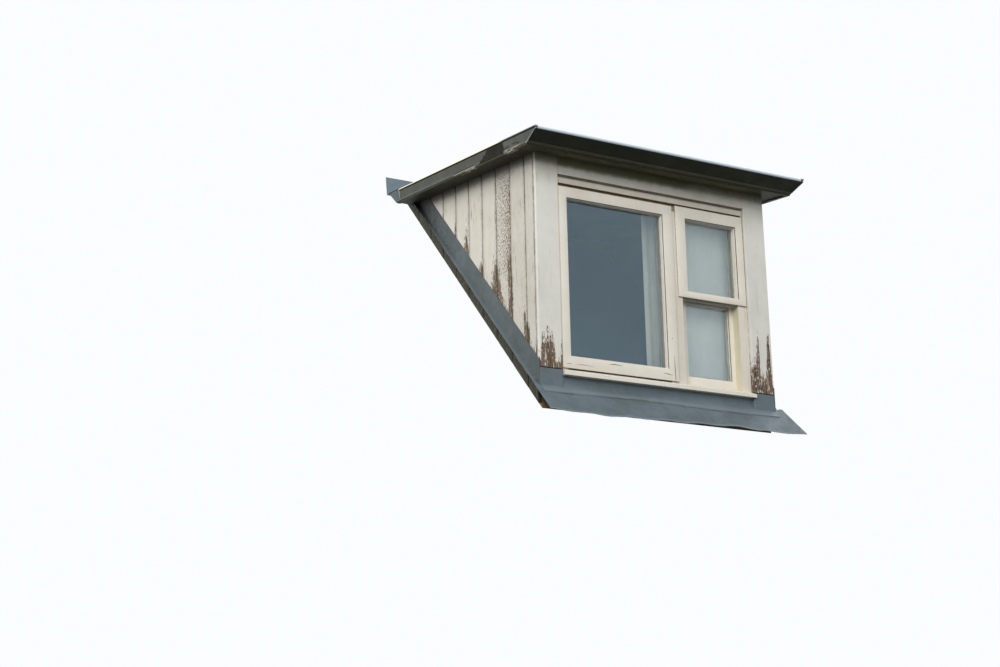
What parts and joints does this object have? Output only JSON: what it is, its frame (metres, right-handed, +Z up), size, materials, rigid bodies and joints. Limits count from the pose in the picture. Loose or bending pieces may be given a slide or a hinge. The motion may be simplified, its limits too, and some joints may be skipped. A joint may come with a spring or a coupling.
{
  "type": "dormer window",
  "caption": "Timber dormer window for a pitched tiled roof: boarded cheeks, a casement beside a sliding sash, a low zinc roof and lead flashings.",
  "frame": {"origin": "middle of the front sole plate's underside, which is cut to the pitch of the main roof", "axes": "+X to the right seen from the front, +Y into the roof behind the window, +Z up"},
  "size_m": [1.582, 1.7034, 1.6385],
  "materials": {
    "painted_boards": "weathered off-white paint, peeling at the board feet",
    "painted_window": "cream gloss paint, gone dull",
    "inside_paint": "plain inside paint",
    "bare_timber": "sawn softwood",
    "zinc_sheet": "weathered dark grey zinc",
    "lead_sheet": "dull blue-grey patina",
    "window_glass": "clear",
    "curtain_cloth": "plain woven cloth",
    "net_cloth": "fine white net",
    "rod_metal": "plain"
  },
  "bodies": {
    "root": {"eaves_board": "painted_boards", "fascia_boards": "painted_boards", "front_soffit": "painted_boards", "side_soffits": "painted_boards", "right_cheek_boards": "painted_boards", "left_cheek_boards": "painted_boards", "right_corner_board": "painted_boards", "left_corner_board": "painted_boards", "header_board": "painted_boards", "window_frame": "painted_window", "window_sill": "painted_window", "left_sash": "painted_window", "upper_sash": "painted_window", "lower_sash": "painted_window", "sash_beads": "painted_window", "side_linings": "inside_paint", "ceiling_lining": "inside_paint", "window_board": "inside_paint", "curtain_rail": "inside_paint", "front_sole_plate": "bare_timber", "raked_sole_plates": "bare_timber", "rear_layer_board": "bare_timber", "corner_posts": "bare_timber", "lintel": "bare_timber", "cheek_studs": "bare_timber", "roof_joists": "bare_timber", "tilt_board": "bare_timber", "roof_deck": "bare_timber", "roof_sheet": "zinc_sheet", "front_zinc": "zinc_sheet", "right_zinc_edge": "zinc_sheet", "left_zinc_edge": "zinc_sheet", "zinc_end_caps": "zinc_sheet", "rear_flashing": "zinc_sheet", "lead_apron": "lead_sheet", "lead_upstand": "lead_sheet", "lead_blocks": "lead_sheet", "right_cheek_flashing": "lead_sheet", "left_cheek_flashing": "lead_sheet", "left_glass": "window_glass", "upper_glass": "window_glass", "lower_glass": "window_glass", "curtain": "curtain_cloth", "net_curtain": "net_cloth", "net_rod": "rod_metal"}
  },
  "joints": []
}
